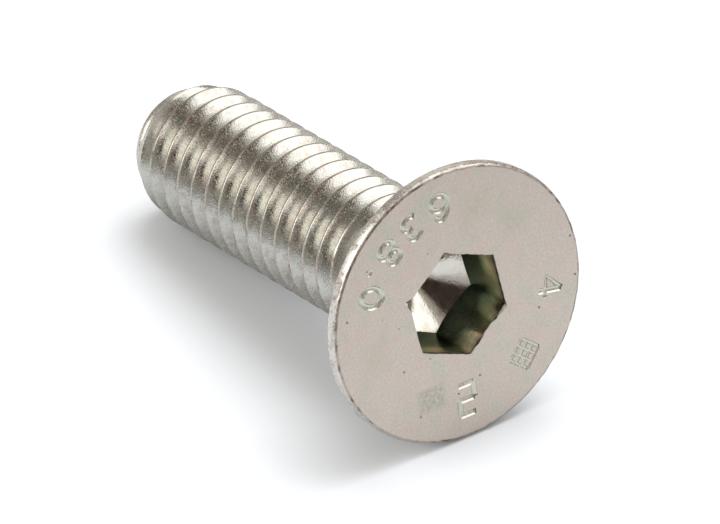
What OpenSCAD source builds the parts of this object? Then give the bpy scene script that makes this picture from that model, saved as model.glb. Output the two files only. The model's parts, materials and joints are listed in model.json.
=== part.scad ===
// Countersunk machine screw with a hexagon socket, metric coarse thread along
// the whole shank, bright zinc plated steel, forged and rolled as one piece.
//
// The screw is first drawn upright, with its head's flat face at z = 0 and its
// point below, and is then laid down on its head's rim and its thread, as it
// comes to rest on a table. A depth is a distance from the head's face.

/* [Thread] */
// Outer diameter over the crests
crest_d = 5.94; // [5.6:0.02:6.4]
// Distance from one crest to the next
pitch = 1; // [0.7:0.05:1.25]
// Included angle between the two flanks of a thread
flank_angle = 60; // [50:1:70]
// Width of the flat on a crest, as a share of the pitch
crest_share = 0.125; // [0.08:0.005:0.2]
// Depth of the thread, as a share of the pitch
depth_share = 0.6134; // [0.4:0.01:0.62]
// Where the crest line starts around the shank, in degrees
thread_start = 205; // [0:1:359]

/* [Shank] */
// Whole length, from the head's face to the end of the point
length = 20; // [12:0.5:40]
// Diameter of the plain neck under the head
neck_d = 5.32; // [4.9:0.02:5.5]
// Length of plain neck below the countersink's blend
neck_l = 0.1; // [0.05:0.05:3]
// Length over which the thread fades into the neck
runout_l = 0.8; // [0.3:0.1:2]
// Diameter of the flat end of the point
tip_d = 4.12; // [3:0.02:4.6]
// Length over which the thread tapers to the point
taper_l = 2.5; // [1:0.1:4]

/* [Head] */
// Diameter of the head
head_d = 11.8; // [10.5:0.1:13]
// Included angle of the countersink
countersink_angle = 90; // [80:1:100]
// Height of the head's rim, its edge rounding included
rim_h = 0.44; // [0.3:0.02:0.8]
// Rounding between the face and the rim
edge_r = 0.13; // [0.05:0.01:0.25]
// Blend between the countersink and the neck
neck_blend_r = 0.3; // [0.15:0.05:0.6]

/* [Socket] */
// Width of the hexagon across its flats
socket_af = 4.12; // [3.4:0.02:4.6]
// Depth of the hexagon at its corners
socket_depth = 2.45; // [1.5:0.05:2.6]
// Included angle of the socket's conical floor
socket_floor_angle = 130; // [118:1:170]
// How far the hexagon is turned around the screw, in degrees
socket_turn = 8; // [0:1:59]

/* [Smoothness] */
// Facets around the thread
thread_facets = 48; // [24:4:60]

/* [Hidden] */

round_facets = 96;
blend_steps = 6;
overlap = 1;
end_step = 0.03;

crest_r = crest_d / 2;
neck_r = neck_d / 2;
tip_r = tip_d / 2;
head_r = head_d / 2;
countersink_slope = tan(countersink_angle / 2);

// Neck: the countersink would meet the neck's radius at cone_foot, and the
// blend is an arc that touches both and ends at blend_foot, a small step
// outside the neck itself.
cone_foot = rim_h + (head_r - neck_r) / countersink_slope;
blend_turn = countersink_angle / 2;
blend_tangent = neck_blend_r * tan(blend_turn / 2);
blend_foot = cone_foot + blend_tangent;
neck_end = blend_foot + neck_l;
neck_step = 0.03;

// Thread form: a flat crest, straight flanks, and a root whose rounding touches
// both flanks at their feet and the thread's full depth midway between them.
thread_depth = depth_share * pitch;
root_r = crest_r - thread_depth;
half_crest = crest_share * pitch / 2;
half_angle = flank_angle / 2;
root_gap = pitch / 2 - half_crest - thread_depth * tan(half_angle);
root_rounding = root_gap * cos(half_angle) / (1 - sin(half_angle));
flank_foot_r = root_r + root_rounding * (1 - sin(half_angle));
half_root = root_rounding * cos(half_angle);
row_offsets = [-half_crest, half_crest, pitch / 2 - half_root, pitch / 2, pitch / 2 + half_root];
rows_per_turn = len(row_offsets);
root_row = 3;

// The thread's mesh starts inside the head, where nothing shows.
thread_top = neck_end - overlap;
runout_end = neck_end + runout_l;
taper_start = length - taper_l;
turns = ceil((length - thread_top) / pitch) + 2;
row_count = turns * rows_per_turn;

// Rest: the head's rim and the thread's outline touch the table along one
// line, whose slope is the least that clears every crest.
function line_slope(depth) = (head_r - crest_limit(depth)) / (depth - rim_h);
rest_depths = [for (k = [0 : 40]) runout_end + (length - runout_end) * k / 40];
lying_tilt = atan(min([for (depth = rest_depths) line_slope(depth)]));
axis_height = head_r * cos(lying_tilt) + rim_h * sin(lying_tilt);
reach_front = max((head_r - edge_r) * sin(lying_tilt),
                  head_r * sin(lying_tilt) - edge_r * cos(lying_tilt));
reach_back = length * cos(lying_tilt) + tip_r * sin(lying_tilt);
face_x = (reach_back - reach_front) / 2;

// Largest radius that the blank leaves to the thread at a depth: it grows out
// of the neck, runs straight, and curves in to the point.
function crest_limit(depth) =
    depth < runout_end
    ? neck_r + (crest_r - neck_r) * max(0, depth - neck_end) / runout_l
    : crest_r - (crest_r - tip_r) * pow(max(0, depth - taper_start) / taper_l, 2);

// Radius in the groove at a depth, where it is r further down: the groove rises
// to the neck's radius, and nothing is left of it above that.
function groove_limit(r, depth) =
    depth < neck_end
    ? neck_r
    : min(crest_limit(depth), max(r, neck_r - (neck_r - r) * (depth - neck_end) / runout_l));

// Radius of one row of the thread's mesh: the first two rows of each turn lie
// on the crest, the others at the feet of the two flanks and in the root.
function row_radius(row, depth) =
    let (place = row % rows_per_turn)
    place < 2 ? crest_limit(depth)
    : groove_limit(place == root_row ? root_r : flank_foot_r, depth);

// Depth of a row where it crosses a column. A right hand thread seen from its
// head gets deeper clockwise. Rows past either end are pressed together there.
function row_depth(row, column) =
    let (turn = floor(row / rows_per_turn) - column / thread_facets,
         along = thread_phase + turn * pitch + row_offsets[row % rows_per_turn])
    min(length - end_step * (row_count - 1 - row), max(thread_top + end_step * row, along));
thread_phase = thread_top - pitch * (thread_start / 360 - 1);

function mesh_point(row, column) =
    let (depth = row_depth(row, column), r = row_radius(row, depth),
         angle = 360 * column / thread_facets)
    [r * cos(angle), r * sin(angle), -depth];

function mesh_index(row, column) = column * row_count + row;

// Neck and shank with their helical thread, as one closed mesh. Each column of
// points runs from the head to the point. The last column joins the first one turn
// further down, and the rows that are left over at either end close in fans.
module threaded_shank() {
    last = thread_facets - 1;
    k = rows_per_turn;
    points = [for (column = [0 : last]) for (row = [0 : row_count - 1]) mesh_point(row, column)];
    wall = [for (column = [0 : last - 1]) for (row = [0 : row_count - 2])
        each [[mesh_index(row, column), mesh_index(row, column + 1), mesh_index(row + 1, column)],
              [mesh_index(row + 1, column), mesh_index(row, column + 1),
               mesh_index(row + 1, column + 1)]]];
    seam = [for (row = [k : row_count - 2])
        each [[mesh_index(row, last), mesh_index(row - k, 0), mesh_index(row + 1, last)],
              [mesh_index(row + 1, last), mesh_index(row - k, 0), mesh_index(row - k + 1, 0)]]];
    seam_top = [for (row = [0 : k - 1])
        [mesh_index(row, last), mesh_index(0, 0), mesh_index(row + 1, last)]];
    seam_foot = [for (row = [row_count - 1 - k : row_count - 2])
        [mesh_index(row_count - 1, last), mesh_index(row, 0), mesh_index(row + 1, 0)]];
    top = [[for (column = [last : -1 : 0]) mesh_index(0, column)]];
    foot = [[for (column = [0 : last]) mesh_index(row_count - 1, column)]];
    polyhedron(points = points, faces = concat(wall, seam, seam_top, seam_foot, top, foot));
}

// Points of an arc, for the outlines below.
function arc(centre, r, from, to) =
    [for (k = [0 : blend_steps])
        let (angle = from + (to - from) * k / blend_steps)
        centre + r * [cos(angle), sin(angle)]];

// Head, turned: flat face, rounded edge, rim, countersink, blend.
module head_blank() {
    edge = arc([head_r - edge_r, -edge_r], edge_r, 90, 0);
    blend = arc([neck_r + neck_step + neck_blend_r, -blend_foot], neck_blend_r,
                180 - blend_turn, 180);
    rotate_extrude($fn = round_facets)
        polygon(concat([[0, 0]], edge, [[head_r, -rim_h]], blend, [[0, -blend_foot]]));
}

// Space that the punch leaves: a hexagon whose end is a blunt cone.
module socket() {
    corner_r = socket_af / 2 / cos(30);
    floor_h = corner_r / tan(socket_floor_angle / 2);
    punch_r = corner_r + overlap;
    punch_floor_h = punch_r / tan(socket_floor_angle / 2);
    apex = socket_depth + floor_h;
    intersection() {
        rotate(socket_turn)
            translate([0, 0, -apex])
                cylinder(h = apex + overlap, r = corner_r, $fn = 6);
        rotate_extrude($fn = round_facets)
            polygon([[0, -apex], [punch_r, -apex + punch_floor_h], [punch_r, 2 * overlap],
                     [0, 2 * overlap]]);
    }
}

// Whole screw, upright under its face.
module upright_screw() {
    difference() {
        union() {
            head_blank();
            threaded_shank();
        }
        socket();
    }
}

module screw() {
    color([0.75, 0.73, 0.69])
        translate([face_x, 0, axis_height])
            rotate([0, 90 - lying_tilt, 0])
                upright_screw();
}

screw();
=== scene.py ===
"""Looks of a countersunk hexagon socket screw that lies on a pale floor.

The screw is one piece of zinc plated steel. Its head, socket, stamped marks and
rolled thread are modelled upright in millimetres, with the head's flat face at
height 0 and the point below, and the finished mesh is then laid where the
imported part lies.
"""

import contextlib
import json
import logging
import math
from collections.abc import Callable, Iterator, Sequence
from dataclasses import dataclass, field
from enum import Enum

import bmesh
import bpy
from mathutils import Matrix, Vector, noise


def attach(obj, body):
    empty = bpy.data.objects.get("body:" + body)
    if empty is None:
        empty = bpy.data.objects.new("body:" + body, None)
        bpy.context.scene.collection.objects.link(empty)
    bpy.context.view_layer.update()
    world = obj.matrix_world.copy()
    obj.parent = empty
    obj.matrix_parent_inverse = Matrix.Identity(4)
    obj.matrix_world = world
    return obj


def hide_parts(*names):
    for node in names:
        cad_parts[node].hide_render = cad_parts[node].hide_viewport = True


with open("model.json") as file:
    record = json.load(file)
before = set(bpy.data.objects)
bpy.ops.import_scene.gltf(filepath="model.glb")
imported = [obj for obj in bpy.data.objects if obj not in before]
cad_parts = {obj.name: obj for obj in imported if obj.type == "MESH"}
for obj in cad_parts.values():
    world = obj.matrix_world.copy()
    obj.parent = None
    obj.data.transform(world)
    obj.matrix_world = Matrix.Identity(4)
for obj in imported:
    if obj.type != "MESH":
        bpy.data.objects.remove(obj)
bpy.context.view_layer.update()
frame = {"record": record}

log = logging.getLogger("screw")

MM = 0.001
MERGE_DISTANCE = 1e-4
FULL_TURN = 2 * math.pi
HALF_SIXTH = 30.0
SMOOTH_ANGLE = 28.0

# Shares and steps of the noise patterns that the finishes are made of
NOISE_MEAN = 0.5
CLOUD_DETAIL = 4.0
CLOUD_RANGE = (0.48, 0.68)
GRAIN_DETAIL = 2.0
WAVE_SHARE = 0.6
PIT_RANGE = (0.03, 0.13)
PIT_DEPTH = 1.5
STAIN_DETAIL = 3.0
STAIN_RANGE = (0.3, 0.6)
STAIN_SPECKS = 7.0
TINT_SPECKS = 1.6
TINT_SWING = 0.9
OTHER_PATTERN = (31.0, 17.0, 5.0)

Outline = list[tuple[float, float]]
VertexTest = Callable[[Vector], bool]
Colour = tuple[float, float, float, float]


def make_active(piece: bpy.types.Object) -> None:
    """Select one object and nothing else, and make it active.

    Args:
        piece: The object.
    """
    bpy.ops.object.select_all(action="DESELECT")
    piece.select_set(True)
    bpy.context.view_layer.objects.active = piece


@contextlib.contextmanager
def editing(piece: bpy.types.Object) -> Iterator[None]:
    """Keep a piece in edit mode for the length of a block.

    Args:
        piece: The mesh object to edit.
    """
    make_active(piece)
    bpy.ops.object.mode_set(mode="EDIT")
    bpy.ops.mesh.select_mode(type="VERT")
    yield
    bpy.ops.object.mode_set(mode="OBJECT")


def select_vertices(piece: bpy.types.Object, test: VertexTest) -> None:
    """Select the vertices that pass a test, in edit mode.

    Args:
        piece: The mesh object, already in edit mode.
        test: Says for a vertex's place whether it is selected.
    """
    bpy.ops.mesh.select_all(action="DESELECT")
    mesh = bmesh.from_edit_mesh(piece.data)
    for vertex in mesh.verts:
        vertex.select = test(vertex.co)
    mesh.select_flush(True)
    bmesh.update_edit_mesh(piece.data)


def apply_modifier(piece: bpy.types.Object, kind: str, **settings: object) -> None:
    """Add a modifier, set it and apply it.

    Args:
        piece: The mesh object that takes it.
        kind: Blender's name for the modifier's type.
        **settings: Values of the modifier's properties.
    """
    make_active(piece)
    bpy.ops.object.modifier_add(type=kind)
    modifier = piece.modifiers[-1]
    for name, value in settings.items():
        setattr(modifier, name, value)
    bpy.ops.object.modifier_apply(modifier=modifier.name)


def draw_line(name: str, points: Sequence[Sequence[float]]) -> bpy.types.Object:
    """Draw a line of edges from point to point.

    Args:
        name: The new object's name.
        points: The places that it runs through.

    Returns:
        The line, as a mesh object.
    """
    bpy.ops.mesh.primitive_plane_add(size=1)
    line = bpy.context.object
    line.name = name
    with editing(line):
        bpy.ops.mesh.select_all(action="SELECT")
        bpy.ops.mesh.merge(type="CENTER")
        bpy.ops.transform.translate(value=points[0])
        for start, end in zip(points, points[1:]):
            step = Vector(end) - Vector(start)
            bpy.ops.mesh.extrude_region_move(TRANSFORM_OT_translate={"value": step})
    return line


def draw_outline(name: str, outline: Outline) -> bpy.types.Object:
    """Draw a line of edges in the plane through the screw's axis.

    Args:
        name: The new object's name.
        outline: Radius and height of each point.

    Returns:
        The line, as a mesh object.
    """
    return draw_line(name, [(radius, 0, height) for radius, height in outline])


def face_outwards(piece: bpy.types.Object) -> None:
    """Weld a piece's doubled points and turn its faces outwards.

    Args:
        piece: The mesh object.
    """
    with editing(piece):
        bpy.ops.mesh.select_all(action="SELECT")
        bpy.ops.mesh.remove_doubles(threshold=MERGE_DISTANCE)
        bpy.ops.mesh.normals_make_consistent(inside=False)


def turn_on_lathe(name: str, outline: Outline, steps: int) -> bpy.types.Object:
    """Turn an outline that starts and ends on the axis into a closed solid.

    Args:
        name: The new object's name.
        outline: Radius and height of each point.
        steps: Faces around the axis.

    Returns:
        The turned solid.
    """
    solid = draw_outline(name, outline)
    apply_modifier(solid, "SCREW", axis="Z", angle=FULL_TURN, screw_offset=0, iterations=1,
                   steps=steps, render_steps=steps, use_merge_vertices=True,
                   merge_threshold=MERGE_DISTANCE)
    face_outwards(solid)
    return solid


def oval(centre: Sequence[float], reach: Sequence[float], start: float, end: float,
         steps: int = 12) -> Outline:
    """Points along part of an ellipse.

    Args:
        centre: Its centre.
        reach: Its half width and half height.
        start: The angle of its first point, in degrees.
        end: The angle of its last point, in degrees.
        steps: How many stretches it has.

    Returns:
        The points, both ends included.
    """
    angles = [math.radians(start + (end - start) * k / steps) for k in range(steps + 1)]
    return [(centre[0] + reach[0] * math.cos(a), centre[1] + reach[1] * math.sin(a))
            for a in angles]


def arc(centre: Sequence[float], radius: float, start: float, end: float,
        steps: int) -> Outline:
    """Points along an arc, both ends included.

    Args:
        centre: Its centre.
        radius: Its radius.
        start: The angle of its first point, in degrees.
        end: The angle of its last point, in degrees.
        steps: How many stretches it has.

    Returns:
        The points.
    """
    return oval(centre, (radius, radius), start, end, steps)


class Fit(Enum):
    """How one solid is combined with another."""

    CUT = "DIFFERENCE"
    JOIN = "UNION"
    KEEP_COMMON = "INTERSECT"


def combine(target: bpy.types.Object, tool: bpy.types.Object, fit: Fit) -> None:
    """Combine two closed solids and remove the second.

    Args:
        target: The solid that is changed.
        tool: The solid that changes it.
        fit: How they are combined.
    """
    apply_modifier(target, "BOOLEAN", operation=fit.value, object=tool, solver="MANIFOLD")
    bpy.data.objects.remove(tool)


@dataclass
class Thread:
    """Rolled thread along the neck and shank, in millimetres.

    A depth is a distance from the head's face. The thread's height fades in
    from the neck and fades out again in the taper of the point.
    """

    crest_r: float = 2.97
    pitch: float = 1.0
    height: float = 0.6134
    crest_flat: float = 0.125
    crest_round: float = 0.03
    bend_drop: float = 0.25
    bend_back: float = 0.1
    half_angle: float = 30.0
    crest_depth: float = 0.335
    neck_r: float = 2.66
    neck_end: float = 3.904
    runout: float = 0.8
    length: float = 20.0
    taper: float = 2.5
    tip_r: float = 2.06
    tip_round: float = 0.3
    inside_head: float = 1.0
    steps: int = 96
    flank_steps: int = 3
    root_steps: int = 5

    def profile(self) -> Outline:
        """Trace one pitch of the thread, from mid crest to mid crest.

        Returns:
            Radius and height of each point.
        """
        slope = math.tan(math.radians(self.half_angle))
        rise = 1 - math.sin(math.radians(self.half_angle))
        gap = self.pitch / 2 - self.crest_flat / 2 - self.height * slope
        rounding = gap * math.cos(math.radians(self.half_angle)) / rise
        root_r = self.crest_r - self.height
        foot_r = root_r + rounding * rise
        foot_z = self.pitch / 2 - rounding * math.cos(math.radians(self.half_angle))
        edge = self.crest_round
        shoulder = (self.crest_r - edge, self.crest_flat / 2 + edge * slope)
        half = [(self.crest_r, 0.0), (self.crest_r, self.crest_flat / 2 - edge),
                (self.crest_r - edge * self.bend_drop,
                 self.crest_flat / 2 - edge * self.bend_back)]
        for k in range(self.flank_steps + 1):
            share = k / self.flank_steps
            half.append((shoulder[0] + (foot_r - shoulder[0]) * share,
                         shoulder[1] + (foot_z - shoulder[1]) * share))
        turn = 90 - self.half_angle
        root = arc((root_r + rounding, self.pitch / 2), rounding, 180 + turn, 180 - turn,
                   self.root_steps)
        middle = root[1:-1]
        back = [(r, self.pitch - z) for r, z in reversed(half)]
        return half + middle + back

    def crest_limit(self, depth: float) -> float:
        """Give the largest radius that the blank leaves the thread.

        Args:
            depth: The depth below the face.

        Returns:
            The radius there.
        """
        taper_start = self.length - self.taper
        if depth < self.neck_end + self.runout:
            share = max(0.0, depth - self.neck_end) / self.runout
            return self.neck_r + (self.crest_r - self.neck_r) * share
        share = max(0.0, depth - taper_start) / self.taper
        radius = self.crest_r - (self.crest_r - self.tip_r) * share ** 2
        over = max(0.0, depth - self.length + self.tip_round) / self.tip_round
        return radius - self.tip_round * (1 - math.sqrt(max(0.0, 1 - over * over)))

    def groove_limit(self, depth: float) -> float:
        """Give the radius at the bottom of the groove.

        Args:
            depth: The depth below the face.

        Returns:
            The radius there.
        """
        root_r = self.crest_r - self.height
        share = min(1.0, max(0.0, depth - self.neck_end) / self.runout)
        return min(self.neck_r + (root_r - self.neck_r) * share, self.crest_limit(depth))

    def shape(self, solid: bpy.types.Object) -> None:
        """Let the thread's height fade in at the neck and out at the point.

        Args:
            solid: The wound thread, of even height.
        """
        root_r = self.crest_r - self.height
        for vertex in solid.data.vertices:
            radius = math.hypot(vertex.co.x, vertex.co.y)
            depth = -vertex.co.z
            share = (radius - root_r) / self.height
            low = self.groove_limit(depth)
            wanted = low + share * (self.crest_limit(depth) - low)
            vertex.co.x *= wanted / radius
            vertex.co.y *= wanted / radius

    def build(self) -> bpy.types.Object:
        """Wind the profile into a thread and cut it off at both ends.

        Returns:
            The threaded shank, as a closed solid that starts inside the head.
        """
        lowest = math.ceil(self.length) + 1 + self.crest_depth
        top = self.neck_end - self.inside_head
        turns = math.ceil(lowest - top)
        outline = [(r, z - lowest * self.pitch) for r, z in self.profile()]
        shank = draw_outline("threaded_shank", outline)
        apply_modifier(shank, "SCREW", axis="Z", angle=FULL_TURN, screw_offset=self.pitch,
                       iterations=turns, steps=self.steps, render_steps=self.steps,
                       use_merge_vertices=True, merge_threshold=MERGE_DISTANCE)
        with editing(shank):
            bpy.ops.mesh.select_all(action="SELECT")
            bpy.ops.mesh.remove_doubles(threshold=MERGE_DISTANCE)
        self.shape(shank)
        with editing(shank):
            for height, side in ((-self.length, -1), (-top, 1)):
                bpy.ops.mesh.select_all(action="SELECT")
                bpy.ops.mesh.bisect(plane_co=(0, 0, height), plane_no=(0, 0, side),
                                    use_fill=True, clear_outer=True, threshold=MERGE_DISTANCE)
        face_outwards(shank)
        return shank


@dataclass
class Head:
    """Countersunk head, turned about the axis, in millimetres."""

    radius: float = 5.9
    edge_round: float = 0.13
    rim_height: float = 0.44
    rim_round: float = 0.05
    cone_angle: float = 45.0
    neck_r: float = 2.66
    blend_round: float = 0.3
    overlap: float = 0.1
    edge_wear: float = 0.025
    mean_wear: float = 0.5
    wear_grain: float = 0.22
    wear_stretch: float = 0.3
    worn_share: float = 0.9
    round_steps: int = 8
    rim_steps: int = 3
    steps: int = 288

    def outline(self) -> Outline:
        """Trace the head from the middle of its face to the axis under it.

        Returns:
            Radius and height of each point.
        """
        edge = arc((self.radius - self.edge_round, -self.edge_round), self.edge_round, 90, 0,
                   self.round_steps)
        rim = arc((self.radius - self.rim_round, -self.rim_height), self.rim_round,
                  0, -self.cone_angle, self.rim_steps)
        cone_foot = self.rim_height + self.radius - self.neck_r
        foot = -cone_foot - self.blend_round * math.tan(math.radians(self.cone_angle / 2))
        blend = arc((self.neck_r + self.blend_round, foot), self.blend_round,
                    180 - self.cone_angle, 180, self.round_steps)
        inner = (self.neck_r - self.overlap, foot - self.overlap)
        return [(0.0, 0.0)] + edge + rim + blend + [inner, (0.0, inner[1])]

    def build(self) -> bpy.types.Object:
        """Turn the head and make its face one flat face.

        Returns:
            The head, as a closed solid.
        """
        head = turn_on_lathe("head", self.outline(), self.steps)
        with editing(head):
            select_vertices(head, lambda place: abs(place.z) < MERGE_DISTANCE)
            bpy.ops.mesh.select_mode(type="FACE")
            bpy.ops.mesh.dissolve_faces()
        self.wear(head)
        return head

    def wear(self, head: bpy.types.Object) -> None:
        """Move the rounded edge around the face inwards by an uneven amount.

        Args:
            head: The turned head.
        """
        for vertex in head.data.vertices:
            place = vertex.co
            if place.z > -self.edge_round * self.worn_share:
                height = place.z * self.wear_stretch
                rough = noise.noise(Vector((place.x, place.y, height)) / self.wear_grain)
                share = 1 - self.edge_wear * (self.mean_wear + rough) / self.radius
                place.x *= share
                place.y *= share


@dataclass
class Socket:
    """Hexagon socket with a conical floor and a worn mouth, in millimetres.

    A chip is an angle around the axis, half its reach in degrees, and how far it
    goes outwards.
    """

    across_flats: float = 4.12
    depth: float = 2.45
    floor_angle: float = 130.0
    floor_rings: tuple[float, ...] = (0.0, 0.05, 0.15, 0.5)
    floor_steps: int = 144
    turned: float = 8.0
    clearance: float = 1.0
    mouth_depth: float = 0.11
    mouth_wear: float = 0.06
    mean_wear: float = 0.55
    wear_swing: float = 0.75
    wear_grain: float = 0.2
    edge_cuts: int = 17
    chips: tuple[tuple[float, float, float], ...] = ((249, 6, 0.2), (191, 7, 0.08),
                                                     (64, 6, 0.07), (38, 15, -0.09))

    @property
    def corner_r(self) -> float:
        """Radius of the hexagon's corners."""
        return self.across_flats / 2 / math.cos(math.radians(HALF_SIXTH))

    def wear(self, place: Vector) -> float:
        """Tell how far the mouth's edge is worn back at a place on it.

        Args:
            place: The place on the edge.

        Returns:
            The distance, which is negative where a burr leans inwards.
        """
        rough = noise.noise(Vector((place.x, place.y, 0)) / self.wear_grain)
        angle = math.degrees(math.atan2(place.y, place.x)) % 360
        chipped = sum(amount * max(0.0, 1 - ((angle - middle) / reach) ** 2)
                      for middle, reach, amount in self.chips)
        return self.mouth_wear * (self.mean_wear + self.wear_swing * rough) + chipped

    def build(self) -> bpy.types.Object:
        """Make the space that the punch leaves.

        Returns:
            The space, as a closed solid that reaches above the face.
        """
        floor_slope = 1 / math.tan(math.radians(self.floor_angle / 2))
        apex = self.depth + self.corner_r * floor_slope
        height = apex + self.clearance
        bpy.ops.mesh.primitive_cylinder_add(vertices=6, radius=self.corner_r, depth=height,
                                            location=(0, 0, self.clearance - height / 2))
        punch = bpy.context.object
        punch.name = "punch"
        bpy.ops.object.transform_apply(location=True, rotation=True, scale=True)
        with editing(punch):
            bpy.ops.mesh.select_all(action="SELECT")
            bpy.ops.transform.rotate(value=-math.radians(self.turned + HALF_SIXTH),
                                     orient_axis="Z", center_override=(0, 0, 0))
            self.subdivide_rings(punch)
            for height in (-self.mouth_depth, -self.mouth_depth / 3, 0.0):
                bpy.ops.mesh.select_all(action="SELECT")
                bpy.ops.mesh.bisect(plane_co=(0, 0, height), plane_no=(0, 0, 1))
        self.open_mouth(punch)
        reach = self.corner_r + self.clearance
        cone = [(radius, radius * floor_slope - apex) for radius in (*self.floor_rings, reach)]
        end = cone + [(reach, 2 * self.clearance), (0.0, 2 * self.clearance)]
        combine(punch, turn_on_lathe("punch_end", end, self.floor_steps), Fit.KEEP_COMMON)
        return punch

    def subdivide_rings(self, punch: bpy.types.Object) -> None:
        """Cut the two rings of the hexagon into short stretches, in edit mode.

        Args:
            punch: The hexagon.
        """
        bpy.ops.mesh.select_all(action="DESELECT")
        bpy.ops.mesh.select_mode(type="EDGE")
        mesh = bmesh.from_edit_mesh(punch.data)
        for edge in mesh.edges:
            edge.select = abs(edge.verts[0].co.z - edge.verts[1].co.z) < MERGE_DISTANCE
        bmesh.update_edit_mesh(punch.data)
        bpy.ops.mesh.subdivide(number_cuts=self.edge_cuts)

    def open_mouth(self, punch: bpy.types.Object) -> None:
        """Widen the punch towards the face, by an uneven amount.

        Args:
            punch: The hexagon.
        """
        for vertex in punch.data.vertices:
            place = vertex.co
            share = min(1.0, max(0.0, 1 + place.z / self.mouth_depth))
            factor = 1 + self.wear(place) * share ** 2 / Vector((place.x, place.y)).length
            place.x *= factor
            place.y *= factor


class Glyph(Enum):
    """What a mark in the face shows."""

    ZERO = "0"
    TWO = "2"
    THREE = "3"
    FOUR = "4"
    SIX = "6"
    EIGHT = "8"
    POINT = "."
    GRID = "#"

    def strokes(self) -> list[Outline]:
        """Give the middle lines of its strokes, in a square one unit wide.

        Returns:
            One line for each stroke.
        """
        if self is Glyph.ZERO:
            return [oval((0, 0), (0.5, 0.5), 0, 360, 20)]
        if self is Glyph.TWO:
            corners = [(-0.5, 0.5), (0.5, 0.5), (0.5, 0), (-0.5, 0), (-0.5, -0.5), (0.5, -0.5)]
            return [[a, b] for a, b in zip(corners, corners[1:])]
        if self is Glyph.THREE:
            return [oval((0, 0.25), (0.42, 0.25), 150, -90), oval((0, -0.25), (0.5, 0.25), 90, -150)]
        if self is Glyph.FOUR:
            return [[(0.2, 0.5), (-0.5, -0.2), (0.5, -0.2)], [(0.2, 0.5), (0.2, -0.5)]]
        if self is Glyph.SIX:
            return [oval((0, -0.2), (0.5, 0.3), 0, 360, 18), oval((0, -0.2), (0.5, 0.7), 180, 50)]
        if self is Glyph.EIGHT:
            return [oval((0, 0.26), (0.38, 0.24), 0, 360, 16),
                    oval((0, -0.24), (0.5, 0.26), 0, 360, 18)]
        if self is Glyph.POINT:
            return [oval((0, 0), (0.5, 0.5), 0, 360, 10)]
        lines = (-0.5, -0.17, 0.17, 0.5)
        return ([[(x, -0.5), (x, 0.5)] for x in lines] + [[(-0.5, y), (0.5, y)] for y in lines])


@dataclass
class StampedMark:
    """A mark struck into the face, in millimetres and degrees."""

    glyph: Glyph
    distance: float
    angle: float
    width: float
    height: float
    top_inwards: bool = True
    turned: float = 0.0
    stroke_depth: float = 0.07
    stroke_width: float = 0.27
    bevel_steps: int = 4

    def place(self, point: Sequence[float]) -> Vector:
        """Find where a point of the glyph's square lies on the face.

        Args:
            point: The point in the square.

        Returns:
            Its place on the upright screw.
        """
        away = Vector((math.cos(math.radians(self.angle)), math.sin(math.radians(self.angle)), 0))
        up = -away if self.top_inwards else away
        up = Matrix.Rotation(math.radians(self.turned), 3, "Z") @ up
        right = up.cross(Vector((0, 0, 1)))
        across = point[0] * (self.width - self.stroke_width)
        along = point[1] * (self.height - self.stroke_width)
        return away * self.distance + right * across + up * along

    def strike(self, head: bpy.types.Object) -> None:
        """Cut the mark's strokes out of the head, as round grooves.

        Args:
            head: The solid that is marked.
        """
        half = self.stroke_width / 2
        radius = (half ** 2 + self.stroke_depth ** 2) / (2 * self.stroke_depth)
        lift = Vector((0, 0, radius - self.stroke_depth))
        for stroke in self.glyph.strokes():
            closed = math.dist(stroke[0], stroke[-1]) < MERGE_DISTANCE
            groove = draw_line("groove", [self.place(point) + lift for point in stroke])
            if closed:
                face_outwards(groove)
            make_active(groove)
            bpy.ops.object.convert(target="CURVE")
            groove.data.bevel_depth = radius
            groove.data.bevel_resolution = self.bevel_steps
            groove.data.use_fill_caps = True
            bpy.ops.object.convert(target="MESH")
            face_outwards(groove)
            combine(head, groove, Fit.CUT)


@dataclass(frozen=True)
class Lie:
    """Where the upright model lies in the row frame."""

    face_centre: Vector
    axis: Vector

    @classmethod
    def from_record(cls, record: dict) -> "Lie":
        """Read the socket's mount, which is at the middle of the face.

        Args:
            record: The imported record.

        Returns:
            The place of the face's centre and the direction that it faces.
        """
        mount = next(m for m in record["mounts"] if m["name"] == "hex_socket")
        return cls(Vector(mount["pos_m"]), Vector(mount["axis"]).normalized())

    def turn(self) -> Matrix:
        """Give the turn from the upright model to the lying screw."""
        across = Vector((0, 1, 0))
        return Matrix((across.cross(self.axis), across, self.axis)).transposed()

    def matrix(self) -> Matrix:
        """Give the matrix from upright millimetres to the row frame's metres."""
        return (Matrix.Translation(self.face_centre) @ self.turn().to_4x4()
                @ Matrix.Scale(MM, 4))


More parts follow.
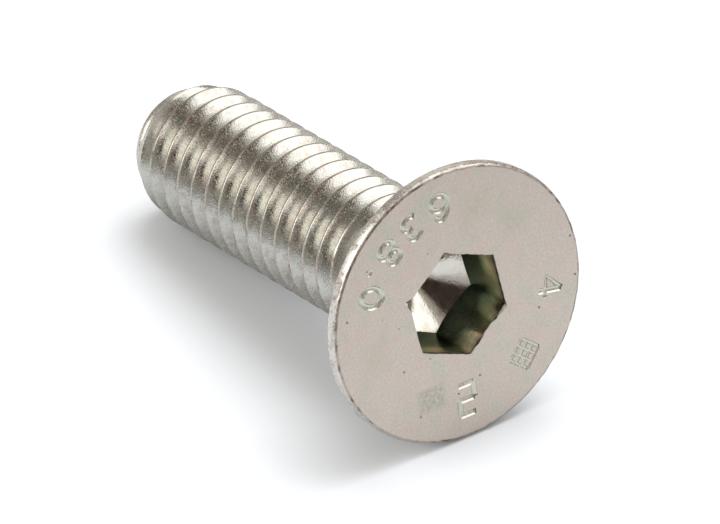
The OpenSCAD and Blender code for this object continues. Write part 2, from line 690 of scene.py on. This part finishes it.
class Wiring:
    """Short ways to add nodes to a shader tree and to join them."""

    def __init__(self, tree: bpy.types.NodeTree) -> None:
        """Keep the tree that the nodes go into."""
        self.tree = tree

    def add(self, kind: str, feeds: dict[str | int, object] | None = None,
            **settings: object) -> bpy.types.Node:
        """Add a node.

        Args:
            kind: The end of Blender's name for the node's type.
            feeds: What goes into its sockets, as a value or another node's socket.
            **settings: Values of the node's own properties.

        Returns:
            The node.
        """
        node = self.tree.nodes.new("ShaderNode" + kind)
        for name, value in settings.items():
            setattr(node, name, value)
        for socket, value in (feeds or {}).items():
            self.feed(node, socket, value)
        return node

    def feed(self, node: bpy.types.Node, socket: str | int, value: object) -> None:
        """Put a value, or another node's socket, into a node's socket.

        Args:
            node: The node that takes it.
            socket: Name or number of the socket.
            value: A socket to join to, or a plain value.
        """
        if isinstance(value, bpy.types.NodeSocket):
            self.tree.links.new(value, node.inputs[socket])
        else:
            node.inputs[socket].default_value = value

    def sums(self, operation: str, *values: object) -> bpy.types.NodeSocket:
        """Add a Math node.

        Args:
            operation: What it works out.
            *values: Its inputs.

        Returns:
            Its result.
        """
        return self.add("Math", dict(enumerate(values)), operation=operation).outputs[0]

    def blend(self, share: object, first: object, second: object,
              kind: str = "MIX") -> bpy.types.NodeSocket:
        """Mix two colours.

        Args:
            share: How much of the second shows.
            first: The first colour.
            second: The second colour.
            kind: How they are mixed.

        Returns:
            The mixed colour.
        """
        node = self.add("Mix", {0: share, 6: first, 7: second}, data_type="RGBA", blend_type=kind)
        return node.outputs[2]

    def spread(self, value: object, low: float, high: float, to_low: float = 0.0,
               to_high: float = 1.0) -> bpy.types.NodeSocket:
        """Stretch a range of values smoothly to another one.

        Args:
            value: What comes in.
            low: The lower end of its range.
            high: The upper end of its range.
            to_low: What the lower end becomes.
            to_high: What the upper end becomes.

        Returns:
            The stretched value.
        """
        feeds = {"Value": value, "From Min": low, "From Max": high, "To Min": to_low,
                 "To Max": to_high}
        return self.add("MapRange", feeds, interpolation_type="SMOOTHSTEP").outputs[0]

    def speckle(self, place: object, size: float | bpy.types.NodeSocket,
                detail: float) -> bpy.types.NodeSocket:
        """Add a noise pattern.

        Args:
            place: Where on the surface it is read.
            size: How many specks there are to a unit of length.
            detail: How many finer layers it has.

        Returns:
            The noise, around one half.
        """
        node = self.add("TexNoise", {"Vector": place, "Scale": size, "Detail": detail})
        return node.outputs[0]


def new_group(name: str, inputs: dict[str, str], outputs: dict[str, str]) -> Wiring:
    """Start a shader node group.

    Args:
        name: The group's name.
        inputs: Name and kind of each input socket.
        outputs: Name and kind of each output socket.

    Returns:
        The wiring of its tree, which has an input and an output node.
    """
    tree = bpy.data.node_groups.new(name, "ShaderNodeTree")
    for way, sockets in (("INPUT", inputs), ("OUTPUT", outputs)):
        for socket, kind in sockets.items():
            tree.interface.new_socket(socket, in_out=way, socket_type="NodeSocket" + kind)
    tree.nodes.new("NodeGroupInput")
    tree.nodes.new("NodeGroupOutput")
    return Wiring(tree)


def build_mottling() -> bpy.types.NodeTree:
    """Build the group that clouds a colour with a warmer and a cooler one.

    Returns:
        The group: places in, one colour out.
    """
    colours = {name: "Color" for name in ("Colour", "Warm", "Cool")}
    sizes = {name: "Float" for name in ("Clouds", "Specks", "Speckle")}
    wiring = new_group("plating_mottling", {"Place": "Vector"} | sizes | colours,
                       {"Colour": "Color"})
    given = wiring.tree.nodes["Group Input"].outputs
    aside = wiring.add("VectorMath", {0: given["Place"], 1: OTHER_PATTERN}, operation="ADD")
    colour = given["Colour"]
    for place, other in ((given["Place"], "Warm"), (aside.outputs[0], "Cool")):
        clouds = wiring.speckle(place, given["Clouds"], CLOUD_DETAIL)
        colour = wiring.blend(wiring.spread(clouds, *CLOUD_RANGE), colour, given[other])
    specks = wiring.speckle(given["Place"], given["Specks"], GRAIN_DETAIL)
    specks = wiring.sums("SUBTRACT", specks, NOISE_MEAN)
    brightness = wiring.sums("MULTIPLY_ADD", specks, given["Speckle"], 1.0)
    colour = wiring.add("VectorMath", {0: colour, "Scale": brightness}, operation="SCALE").outputs[0]
    wiring.feed(wiring.tree.nodes["Group Output"], "Colour", colour)
    return wiring.tree


def build_grain() -> bpy.types.NodeTree:
    """Build the group that gives a plated surface its grain and its few pits.

    Returns:
        The group: height, roughness and a mask of the pits come out.
    """
    inputs = ("Grain", "Waves", "Pits", "Pit Share", "Roughness", "Roughness Spread")
    wiring = new_group("plating_grain", {"Place": "Vector"} | {name: "Float" for name in inputs},
                       {"Height": "Float", "Roughness": "Float", "Pits": "Float"})
    given = wiring.tree.nodes["Group Input"].outputs
    fine = wiring.speckle(given["Place"], given["Grain"], GRAIN_DETAIL)
    broad = wiring.speckle(given["Place"], given["Waves"], 1.0)
    cells = wiring.add("TexVoronoi", {"Vector": given["Place"], "Scale": given["Pits"]})
    chosen = wiring.sums("LESS_THAN", cells.outputs["Color"], given["Pit Share"])
    hole = wiring.spread(cells.outputs["Distance"], *PIT_RANGE, 1.0, 0.0)
    pits = wiring.sums("MULTIPLY", hole, chosen)
    bumps = wiring.sums("MULTIPLY_ADD", broad, WAVE_SHARE, fine)
    out = wiring.tree.nodes["Group Output"]
    wiring.feed(out, "Height", wiring.sums("MULTIPLY_ADD", pits, -PIT_DEPTH, bumps))
    swing = wiring.sums("SUBTRACT", fine, NOISE_MEAN)
    wiring.feed(out, "Roughness", wiring.sums("MULTIPLY_ADD", swing, given["Roughness Spread"],
                                              given["Roughness"]))
    wiring.feed(out, "Pits", pits)
    return wiring.tree


@dataclass(frozen=True)
class Smudge:
    """A faint stain on the face, in millimetres."""

    x: float
    y: float
    half_x: float
    half_y: float
    softness: float
    colour: Colour

    def mask(self, wiring: Wiring, place: bpy.types.NodeSocket) -> bpy.types.NodeSocket:
        """Tell how much of the stain shows at a place.

        Args:
            wiring: The material's wiring.
            place: Where on the screw it is, in millimetres.

        Returns:
            From 0 outside to 1 inside, broken up by a fine pattern.
        """
        size = (self.half_x, self.half_y, 1.0)
        middle = (-self.x / self.half_x, -self.y / self.half_y, 0.0)
        inside = wiring.add("VectorMath", {0: place, 1: tuple(1 / s for s in size), 2: middle},
                            operation="MULTIPLY_ADD").outputs[0]
        inside = wiring.add("VectorMath", {0: inside}, operation="ABSOLUTE").outputs[0]
        parts = wiring.add("SeparateXYZ", {0: inside}).outputs
        furthest = wiring.sums("MAXIMUM", parts[0], parts[1])
        soft = wiring.spread(furthest, 1 + self.softness, 1 - self.softness)
        broken = wiring.spread(wiring.speckle(place, STAIN_SPECKS, STAIN_DETAIL), *STAIN_RANGE)
        return wiring.sums("MULTIPLY", soft, broken)


@dataclass(frozen=True)
class Plating:
    """Bright zinc plating as it looks on one part of the screw.

    Sizes are in millimetres, and a stop is a depth below the face with the tint
    that the surface is given there. In the socket's walls these tints are partly
    an oily stain and partly painted light: painted shade that darkens deeper in
    and a painted highlight a little below the mouth.
    """

    name: str
    colour: Colour
    warm: Colour
    cool: Colour
    cloud_size: float
    roughness: float
    roughness_spread: float = 0.15
    grain_size: float = 0.11
    wave_size: float = 0.5
    grain_height: float = 0.006
    pit_spacing: float = 0.6
    pit_share: float = 0.12
    pit_colour: Colour = (0.16, 0.13, 0.11, 1)
    speckle: float = 0.1
    smudges: tuple[Smudge, ...] = ()
    depth_tints_with_painted_shade: tuple[tuple[float, Colour], ...] = ()

    def build(self, lie: Lie, mottling: bpy.types.NodeTree,
              grain: bpy.types.NodeTree) -> bpy.types.Material:
        """Make the material.

        Args:
            lie: Where the screw lies, so that the pattern follows the screw.
            mottling: The group that clouds a colour.
            grain: The group that gives grain and pits.

        Returns:
            The material.
        """
        material = bpy.data.materials.new(self.name)
        material.use_nodes = True
        wiring = Wiring(material.node_tree)
        shader = material.node_tree.nodes["Principled BSDF"]
        shader.inputs["Metallic"].default_value = 1.0
        frame_place = wiring.add("TexCoord").outputs["Object"]
        place = wiring.add("Mapping", {"Vector": frame_place, "Location": lie.face_centre,
                                       "Rotation": lie.turn().to_euler(),
                                       "Scale": (MM, MM, MM)}, vector_type="TEXTURE").outputs[0]
        clouds = wiring.add("Group", node_tree=mottling)
        for socket, value in {"Place": place, "Clouds": 1 / self.cloud_size, "Colour": self.colour,
                              "Warm": self.warm, "Cool": self.cool, "Speckle": self.speckle,
                              "Specks": 1 / self.grain_size}.items():
            wiring.feed(clouds, socket, value)
        bumps = wiring.add("Group", node_tree=grain)
        for socket, value in {"Place": place, "Grain": 1 / self.grain_size,
                              "Waves": 1 / self.wave_size, "Pits": 1 / self.pit_spacing,
                              "Pit Share": self.pit_share, "Roughness": self.roughness,
                              "Roughness Spread": self.roughness_spread}.items():
            wiring.feed(bumps, socket, value)
        colour = clouds.outputs["Colour"]
        for smudge in self.smudges:
            colour = wiring.blend(smudge.mask(wiring, place), colour, smudge.colour)
        # In the socket's walls the tints by depth are partly an oily stain and partly painted shade,
        # darker deeper in, with a painted highlight near the mouth.
        if self.depth_tints_with_painted_shade:
            colour = wiring.blend(1.0, colour, self.tint(wiring, place), "MULTIPLY")
        colour = wiring.blend(bumps.outputs["Pits"], colour, self.pit_colour)
        wiring.feed(shader, "Base Color", colour)
        wiring.feed(shader, "Roughness", bumps.outputs["Roughness"])
        bump = wiring.add("Bump", {"Height": bumps.outputs["Height"], "Strength": 1.0,
                                   "Distance": self.grain_height * MM})
        wiring.feed(shader, "Normal", bump.outputs[0])
        return material

    def tint(self, wiring: Wiring, place: bpy.types.NodeSocket) -> bpy.types.NodeSocket:
        """Make the tint that changes with the depth below the face.

        Args:
            wiring: The material's wiring.
            place: Where on the screw it is, in millimetres.

        Returns:
            The tint: partly the walls' oily stain, partly painted shade that darkens it
            deeper in and a painted highlight a little below the mouth.
        """
        deepest = self.depth_tints_with_painted_shade[-1][0]
        height = wiring.add("SeparateXYZ", {0: place}).outputs[2]
        rough = wiring.speckle(place, TINT_SPECKS, STAIN_DETAIL)
        rough = wiring.sums("SUBTRACT", rough, NOISE_MEAN)
        uneven = wiring.sums("MULTIPLY_ADD", rough, -TINT_SWING, height)
        share = wiring.sums("DIVIDE", uneven, -deepest)
        ramp = wiring.add("ValToRGB", {0: share})
        stops = ramp.color_ramp.elements
        stops.remove(stops[-1])
        for count, (depth, colour) in enumerate(self.depth_tints_with_painted_shade):
            stop = stops.new(depth / deepest) if count else stops[0]
            stop.position = depth / deepest
            stop.color = colour
        return ramp.outputs[0]


class Region(Enum):
    """A part of the screw's surface with a finish of its own."""

    THREAD = Plating("glossy_zinc", colour=(0.455, 0.45, 0.42, 1), warm=(0.4, 0.355, 0.325, 1),
                     cool=(0.4, 0.415, 0.37, 1), cloud_size=0.36, roughness=0.15,
                     roughness_spread=1.2, grain_size=0.065, grain_height=0.0045, speckle=0.6)
    # Crest: a darker, browner colour with dark specks, which paints shade: the dark lines along the
    # crests.
    CREST = Plating("crest_painted_shade", colour=(0.38, 0.34, 0.3, 1), warm=(0.2, 0.165, 0.14, 1),
                    cool=(0.36, 0.345, 0.3, 1), cloud_size=0.35, roughness=0.2,
                    roughness_spread=0.6, grain_size=0.07, speckle=0.8)
    RIM = Plating("rim_zinc", colour=(0.56, 0.54, 0.51, 1), warm=(0.43, 0.385, 0.35, 1),
                  cool=(0.5, 0.5, 0.465, 1), cloud_size=0.4, roughness=0.32,
                  roughness_spread=0.8, grain_size=0.09, grain_height=0.007, speckle=0.8)
    # Edge of the face: a darker brown band along its rounding.
    EDGE = Plating("dark_face_edge", colour=(0.4, 0.35, 0.31, 1), warm=(0.16, 0.12, 0.1, 1),
                   cool=(0.22, 0.2, 0.17, 1), cloud_size=0.5, roughness=0.35)
    FACE = Plating("satin_zinc", colour=(0.52, 0.47, 0.42, 1), warm=(0.53, 0.445, 0.405, 1),
                   cool=(0.48, 0.46, 0.4, 1), cloud_size=0.8, roughness=0.42,
                   roughness_spread=0.3, grain_size=0.1, grain_height=0.012, pit_share=0.4,
                   speckle=0.5, smudges=(
                       Smudge(3.61, -1.72, 0.5, 0.62, 0.3, (0.39, 0.375, 0.32, 1)),
                       Smudge(-3.9, 1.3, 0.5, 0.6, 0.9, (0.46, 0.43, 0.36, 1)),
                       Smudge(-2.6, 3.0, 0.5, 0.5, 0.9, (0.46, 0.43, 0.365, 1)),
                       Smudge(0.9, -4.1, 0.6, 0.5, 0.9, (0.47, 0.43, 0.37, 1)),
                   ))
    MARK = Plating("stamped_zinc", colour=(0.5, 0.5, 0.44, 1), warm=(0.52, 0.48, 0.43, 1),
                   cool=(0.46, 0.49, 0.42, 1), cloud_size=0.5, roughness=0.25)
    MOUTH = Plating("worn_mouth", colour=(0.5, 0.45, 0.4, 1), warm=(0.22, 0.16, 0.13, 1),
                    cool=(0.3, 0.29, 0.24, 1), cloud_size=0.3, roughness=0.3)
    FLOOR = Plating("socket_floor_zinc", colour=(0.58, 0.55, 0.5, 1), warm=(0.48, 0.41, 0.36, 1),
                    cool=(0.53, 0.53, 0.48, 1), cloud_size=0.7, roughness=0.12, grain_height=0.003,
                    pit_share=0.35)
    # Socket wall: the tints by depth are an oily brown and green stain together with painted shade,
    # darker deeper into the socket, and a lighter painted highlight a little below the mouth.
    WALL = Plating("oily_socket_wall_painted_shade", colour=(1, 1, 1, 1), warm=(1, 0.85, 0.75, 1),
                   cool=(0.85, 1, 0.88, 1), cloud_size=0.8, roughness=0.18, grain_height=0.004,
                   depth_tints_with_painted_shade=((0.0, (0.44, 0.36, 0.3, 1)), (0.35, (0.56, 0.54, 0.39, 1)),
                                (0.8, (0.39, 0.41, 0.3, 1)), (1.5, (0.26, 0.33, 0.28, 1)),
                                (2.8, (0.22, 0.2, 0.17, 1))))


@dataclass(frozen=True)
class Panel:
    """A soft lamp, seen from the screw."""

    name: str
    azimuth: float
    elevation: float
    distance: float
    width: float
    height: float
    brightness: float

    def build(self, target: Vector) -> bpy.types.Object:
        """Hang the lamp so that it faces the screw.

        Args:
            target: The point that it faces, in metres.

        Returns:
            The lamp.
        """
        way = direction(self.azimuth, self.elevation)
        bpy.ops.object.light_add(type="AREA", location=target + way * self.distance)
        lamp = bpy.context.object
        lamp.name = self.name
        lamp.rotation_euler = way.to_track_quat("Z", "Y").to_euler()
        lamp.data.shape = "RECTANGLE"
        lamp.data.size = self.width
        lamp.data.size_y = self.height
        lamp.data.energy = self.brightness * math.pi * self.width * self.height
        lamp.visible_camera = False
        lamp.visible_glossy = False
        return lamp


@dataclass(frozen=True)
class SoftSpot:
    """A pale or dark patch of the room's walls, seen from the screw, in degrees."""

    azimuth: float
    elevation: float
    reach: float
    edge: float
    colour: tuple[float, float, float]


def direction(azimuth: float, elevation: float) -> Vector:
    """Give a direction.

    Args:
        azimuth: Its angle from +X around the vertical, in degrees.
        elevation: Its angle above the floor, in degrees.

    Returns:
        The direction, of length 1.
    """
    a, e = math.radians(azimuth), math.radians(elevation)
    return Vector((math.cos(a) * math.cos(e), math.sin(a) * math.cos(e), math.sin(e)))


@dataclass
class Studio:
    """Camera, lamps, room and floor, in metres and degrees.

    The floor is at its full paleness out to paper_reach and at its darker, far
    colour from paper_end on.
    """

    azimuth: float = 55.672
    elevation: float = 35.714
    roll: float = -0.793
    distance: float = 0.6
    aim_height: float = 0.005
    aim_right: float = 0.001572
    aim_up: float = -0.002141
    lens: float = 750.63
    sensor: float = 36.0
    clip: tuple[float, float] = (0.01, 10.0)
    floor_size: float = 4.0
    floor_colour: Colour = (0.605, 0.63, 0.665, 1.0)
    far_floor_colour: Colour = (0.36, 0.365, 0.38, 1.0)
    paper_reach: float = 0.027
    paper_end: float = 0.065
    room: Colour = (0.54, 0.5, 0.445, 1.0)
    lamps: list[Panel] = field(default_factory=lambda: [
        Panel("overhead_panel", 118, 64, 0.4, 0.34, 0.34, 4.6),
    ])
    spots: list[SoftSpot] = field(default_factory=lambda: [
        SoftSpot(-114, 26, 36, 10, (1.4, 1.33, 1.24)),
        SoftSpot(-112, 32, 21, 5, (4.2, 4.1, 3.9)),
        SoftSpot(-146, 12, 10, 6, (1.0, 0.95, 0.88)),
        SoftSpot(-163, 28, 12, 6, (0.6, 0.55, 0.5)),
        SoftSpot(150, 24, 16, 8, (1.1, 1.05, 0.98)),
        SoftSpot(-60, 54, 18, 10, (0.8, 0.75, 0.7)),
        SoftSpot(-22, 35, 9, 4, (1.75, 1.63, 1.5)),
        SoftSpot(-25, 16, 9, 4, (0.34, 0.3, 0.26)),
        SoftSpot(-6, 13, 16, 3, (0.05, 0.035, 0.03)),
        SoftSpot(-11, 27, 5, 2, (0.95, 0.87, 0.8)),
        SoftSpot(9, 46, 13, 5, (0.26, 0.21, 0.17)),
        SoftSpot(-68, 14, 9, 5, (0.28, 0.26, 0.22)),
        SoftSpot(100, 64, 19, 7, (2.4, 2.35, 2.3)),
        SoftSpot(51, 31, 21, 4, (2.7, 2.65, 2.6)),
        SoftSpot(76, 50, 18, 7, (2.6, 2.55, 2.5)),
        SoftSpot(29, 22, 11, 2, (2.0, 2.0, 1.95)),
        SoftSpot(74, 5, 11, 5, (1.0, 0.97, 0.92)),
    ])

    def camera(self) -> bpy.types.Object:
        """Set the camera up at the photograph's viewing angle.

        Returns:
            The camera.
        """
        a, e, r = (math.radians(x) for x in (self.azimuth, self.elevation, self.roll))
        back = Vector((math.sin(a) * math.cos(e), -math.cos(a) * math.cos(e), math.sin(e)))
        level = Vector((math.cos(a), math.sin(a), 0))
        above = back.cross(level)
        right = math.cos(r) * level + math.sin(r) * above
        up = math.cos(r) * above - math.sin(r) * level
        aim = Vector((0, 0, self.aim_height)) + self.aim_right * right + self.aim_up * up
        bpy.ops.object.camera_add(location=aim + back * self.distance)
        camera = bpy.context.object
        camera.rotation_euler = Matrix((right, up, back)).transposed().to_euler()
        camera.data.sensor_width = self.sensor
        camera.data.lens = self.lens
        camera.data.clip_start, camera.data.clip_end = self.clip
        bpy.context.scene.camera = camera
        return camera

    def floor(self) -> bpy.types.Object:
        """Lay the floor: pale paper, which shows white apart from the screw's shadow.

        Returns:
            The floor.
        """
        bpy.ops.mesh.primitive_plane_add(size=self.floor_size)
        floor = bpy.context.object
        floor.name = "floor"
        material = bpy.data.materials.new("white_floor")
        material.use_nodes = True
        wiring = Wiring(material.node_tree)
        shader = material.node_tree.nodes["Principled BSDF"]
        shader.inputs["Roughness"].default_value = 1.0
        shader.inputs["Specular IOR Level"].default_value = 0.0
        place = wiring.add("TexCoord").outputs["Object"]
        away = wiring.add("VectorMath", {0: place}, operation="LENGTH").outputs["Value"]
        far = wiring.spread(away, self.paper_reach, self.paper_end)
        wiring.feed(shader, "Base Color", wiring.blend(far, self.floor_colour,
                                                       self.far_floor_colour))
        floor.data.materials.append(material)
        return floor

    def walls(self) -> None:
        """Paint the room: an even grey with pale and dark patches over it, in order."""
        world = bpy.data.worlds.new("studio")
        world.use_nodes = True
        bpy.context.scene.world = world
        wiring = Wiring(world.node_tree)
        way = wiring.add("TexCoord").outputs["Generated"]
        light = self.room
        for spot in self.spots:
            dot = wiring.add("VectorMath", {0: way, 1: direction(spot.azimuth, spot.elevation)},
                             operation="DOT_PRODUCT").outputs["Value"]
            outer = math.cos(math.radians(spot.reach + spot.edge))
            inner = math.cos(math.radians(max(0.0, spot.reach - spot.edge)))
            mask = wiring.spread(dot, outer, inner)
            light = wiring.blend(mask, light, (*spot.colour, 1.0))
        wiring.feed(world.node_tree.nodes["Background"], "Color", light)

    def build(self) -> None:
        """Set up everything that isn't the screw."""
        bpy.context.scene.view_settings.view_transform = "Standard"
        self.camera()
        self.floor()
        self.walls()
        for panel in self.lamps:
            panel.build(Vector((0, 0, self.aim_height)))


@dataclass
class Screw:
    """The whole screw, one piece of zinc plated steel, in millimetres.

    The values after the marks tell the regions of the surface apart.
    """

    head: Head = field(default_factory=Head)
    thread: Thread = field(default_factory=Thread)
    socket: Socket = field(default_factory=Socket)
    marks: list[StampedMark] = field(default_factory=lambda: [
        StampedMark(Glyph.SIX, 4.45, 184.1, 1.05, 1.35),
        StampedMark(Glyph.THREE, 4.4, 202.5, 1.0, 1.3),
        StampedMark(Glyph.EIGHT, 4.4, 220.1, 1.05, 1.35),
        StampedMark(Glyph.POINT, 4.87, 233.3, 0.36, 0.36, stroke_width=0.14, stroke_depth=0.04),
        StampedMark(Glyph.ZERO, 4.3, 245.5, 1.05, 1.3),
        StampedMark(Glyph.FOUR, 4.45, 78.9, 1.15, 1.35, top_inwards=False),
        StampedMark(Glyph.GRID, 4.36, 40.2, 1.15, 1.15, turned=10, stroke_width=0.16,
                    stroke_depth=0.045),
        StampedMark(Glyph.TWO, 4.25, 359.0, 1.0, 1.6, top_inwards=False, stroke_width=0.28,
                    stroke_depth=0.09),
    ])
    facing_up: float = 0.9
    floor_facing: float = 0.3
    socket_reach: float = 4.0
    mouth_share: float = 0.8
    edge_share: float = 0.3
    deepest_mark: float = 0.3
    margin: float = 0.05
    crest_margin: float = 0.006
    first_crest: float = 0.3

    def build(self, lie: Lie) -> bpy.types.Object:
        """Model the screw upright and lay it in its place.

        Args:
            lie: Where it lies.

        Returns:
            The finished piece.
        """
        piece = self.head.build()
        combine(piece, self.thread.build(), Fit.JOIN)
        combine(piece, self.socket.build(), Fit.CUT)
        for mark in self.marks:
            mark.strike(piece)
        piece.name = "countersunk_screw"
        piece.data.name = "countersunk_screw"
        make_active(piece)
        bpy.ops.object.shade_smooth_by_angle(angle=math.radians(SMOOTH_ANGLE))
        self.dress(piece, lie)
        piece.data.transform(lie.matrix())
        piece.data.update()
        return piece

    def region(self, face: bpy.types.MeshPolygon) -> Region:
        """Tell which part of the surface a face belongs to.

        Args:
            face: A face of the upright screw.

        Returns:
            The part.
        """
        depth = -face.center.z
        radius = math.hypot(face.center.x, face.center.y)
        if depth < MERGE_DISTANCE and face.normal.z > self.facing_up:
            return Region.FACE
        in_socket = radius < self.socket.corner_r + self.socket.mouth_wear
        if in_socket and depth < self.socket_reach:
            if depth < self.socket.mouth_depth * self.mouth_share:
                return Region.MOUTH
            return Region.FLOOR if face.normal.z > self.floor_facing else Region.WALL
        face_r = self.head.radius - self.head.edge_round - self.margin
        if depth < self.deepest_mark and radius < face_r:
            return Region.MARK
        if depth < self.head.edge_round * self.edge_share:
            return Region.EDGE
        if depth < self.head.rim_height + self.margin:
            return Region.RIM
        on_crest = radius > self.thread.crest_limit(depth) - self.crest_margin
        threaded = depth > self.thread.neck_end + self.first_crest
        return Region.CREST if on_crest and threaded else Region.THREAD

    def dress(self, piece: bpy.types.Object, lie: Lie) -> None:
        """Give each part of the surface its finish.

        Args:
            piece: The upright screw.
            lie: Where it will lie.
        """
        mottling, grain = build_mottling(), build_grain()
        piece.data.materials.clear()
        for region in Region:
            piece.data.materials.append(region.value.build(lie, mottling, grain))
        numbers = {region: number for number, region in enumerate(Region)}
        for face in piece.data.polygons:
            region = self.region(face)
            face.material_index = numbers[region]
            if region is Region.FACE:
                face.use_smooth = False


def count_open_edges(piece: bpy.types.Object) -> int:
    """Count the edges of a mesh that don't have exactly two faces.

    Args:
        piece: The mesh object.

    Returns:
        How many there are.
    """
    mesh = bmesh.new()
    mesh.from_mesh(piece.data)
    count = sum(not edge.is_manifold for edge in mesh.edges)
    mesh.free()
    return count


def main() -> None:
    """Set up the studio and build the screw."""
    logging.basicConfig(level=logging.INFO, format="%(name)s: %(message)s")
    Studio().build()
    piece = Screw().build(Lie.from_record(frame["record"]))
    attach(piece, "root")
    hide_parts("screw")
    triangles = sum(len(face.vertices) - 2 for face in piece.data.polygons)
    log.info("%s: %d triangles, %d open edges", piece.name, triangles, count_open_edges(piece))


if __name__ == "__main__":
    main()
